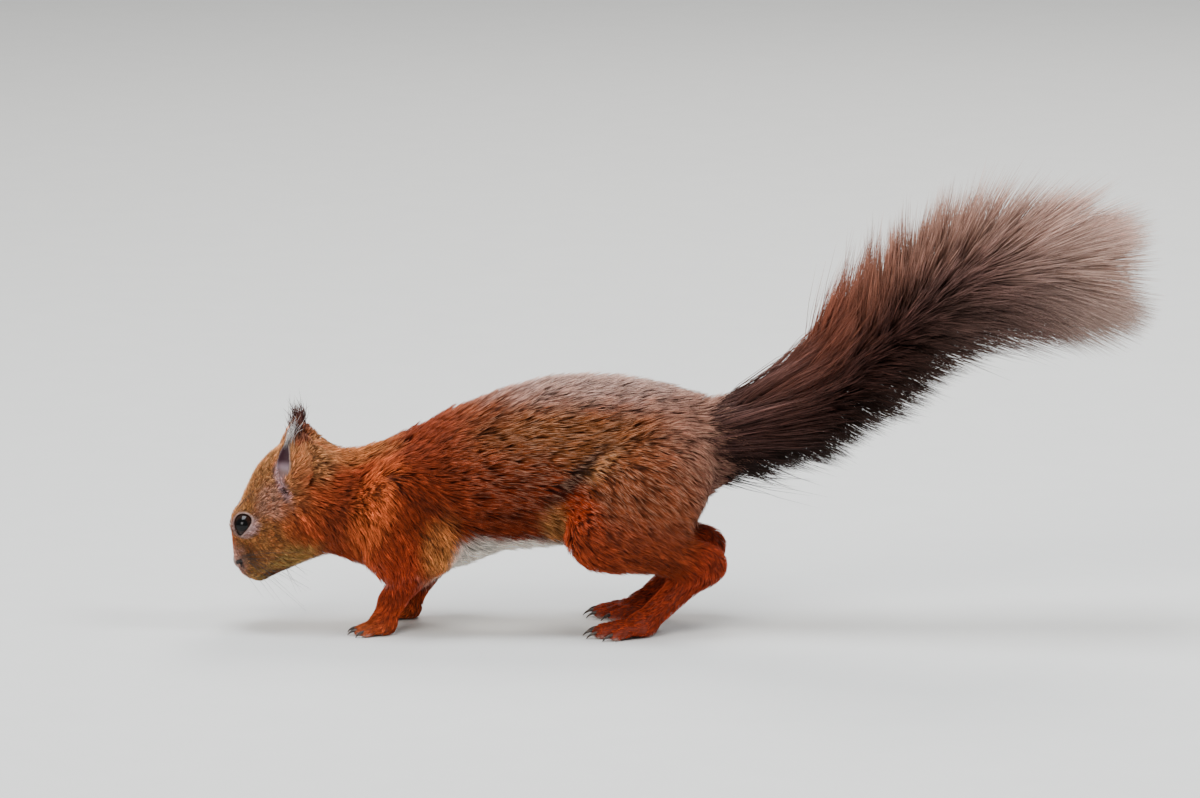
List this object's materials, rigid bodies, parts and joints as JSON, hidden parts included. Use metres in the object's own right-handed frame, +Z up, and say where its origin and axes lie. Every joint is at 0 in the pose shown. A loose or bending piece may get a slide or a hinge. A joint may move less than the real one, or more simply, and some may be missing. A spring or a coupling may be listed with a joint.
{
  "type": "red squirrel",
  "caption": "Still, life-size red squirrel on all fours, sniffing the ground, its bushy tail held up behind.",
  "frame": {"origin": "centre of the bounding box in plan, on the ground under the soles", "axes": "+X to the animal's left, +Y from nose to tail, +Z up"},
  "size_m": [0.0736, 0.361, 0.1781],
  "materials": {
    "eye": "wet, glossy near-black eye",
    "nose": "bare, finely grained pinkish skin",
    "face": "short grey-brown coat with an orange forehead",
    "ear": "thin ear with short brown hair outside",
    "dark": "dark brown hair of the ear tufts, and dark claws",
    "russet": "dense orange-red coat",
    "flank": "dense red-brown coat",
    "back": "grey-brown ticked coat",
    "brush": "long dark chocolate hair"
  },
  "bodies": {
    "root": {"eye_left": "eye", "eye_right": "eye", "ear_left": "ear", "ear_right": "ear", "ear_tuft_left": "dark", "ear_tuft_right": "dark", "forepaw_left": "russet", "forepaw_right": "russet", "forearm_left": "russet", "forearm_right": "russet", "upper_arm_left": "russet", "upper_arm_right": "russet", "hind_foot_left": "russet", "hind_foot_right": "russet", "shank_left": "russet", "shank_right": "russet", "thigh_left": "flank", "thigh_right": "flank", "nose": "nose", "head": "face", "neck": "russet", "chest": "russet", "loin": "back", "rump": "back", "tail_base": "brush", "tail_middle": "brush", "tail_tip": "brush"}
  },
  "joints": []
}
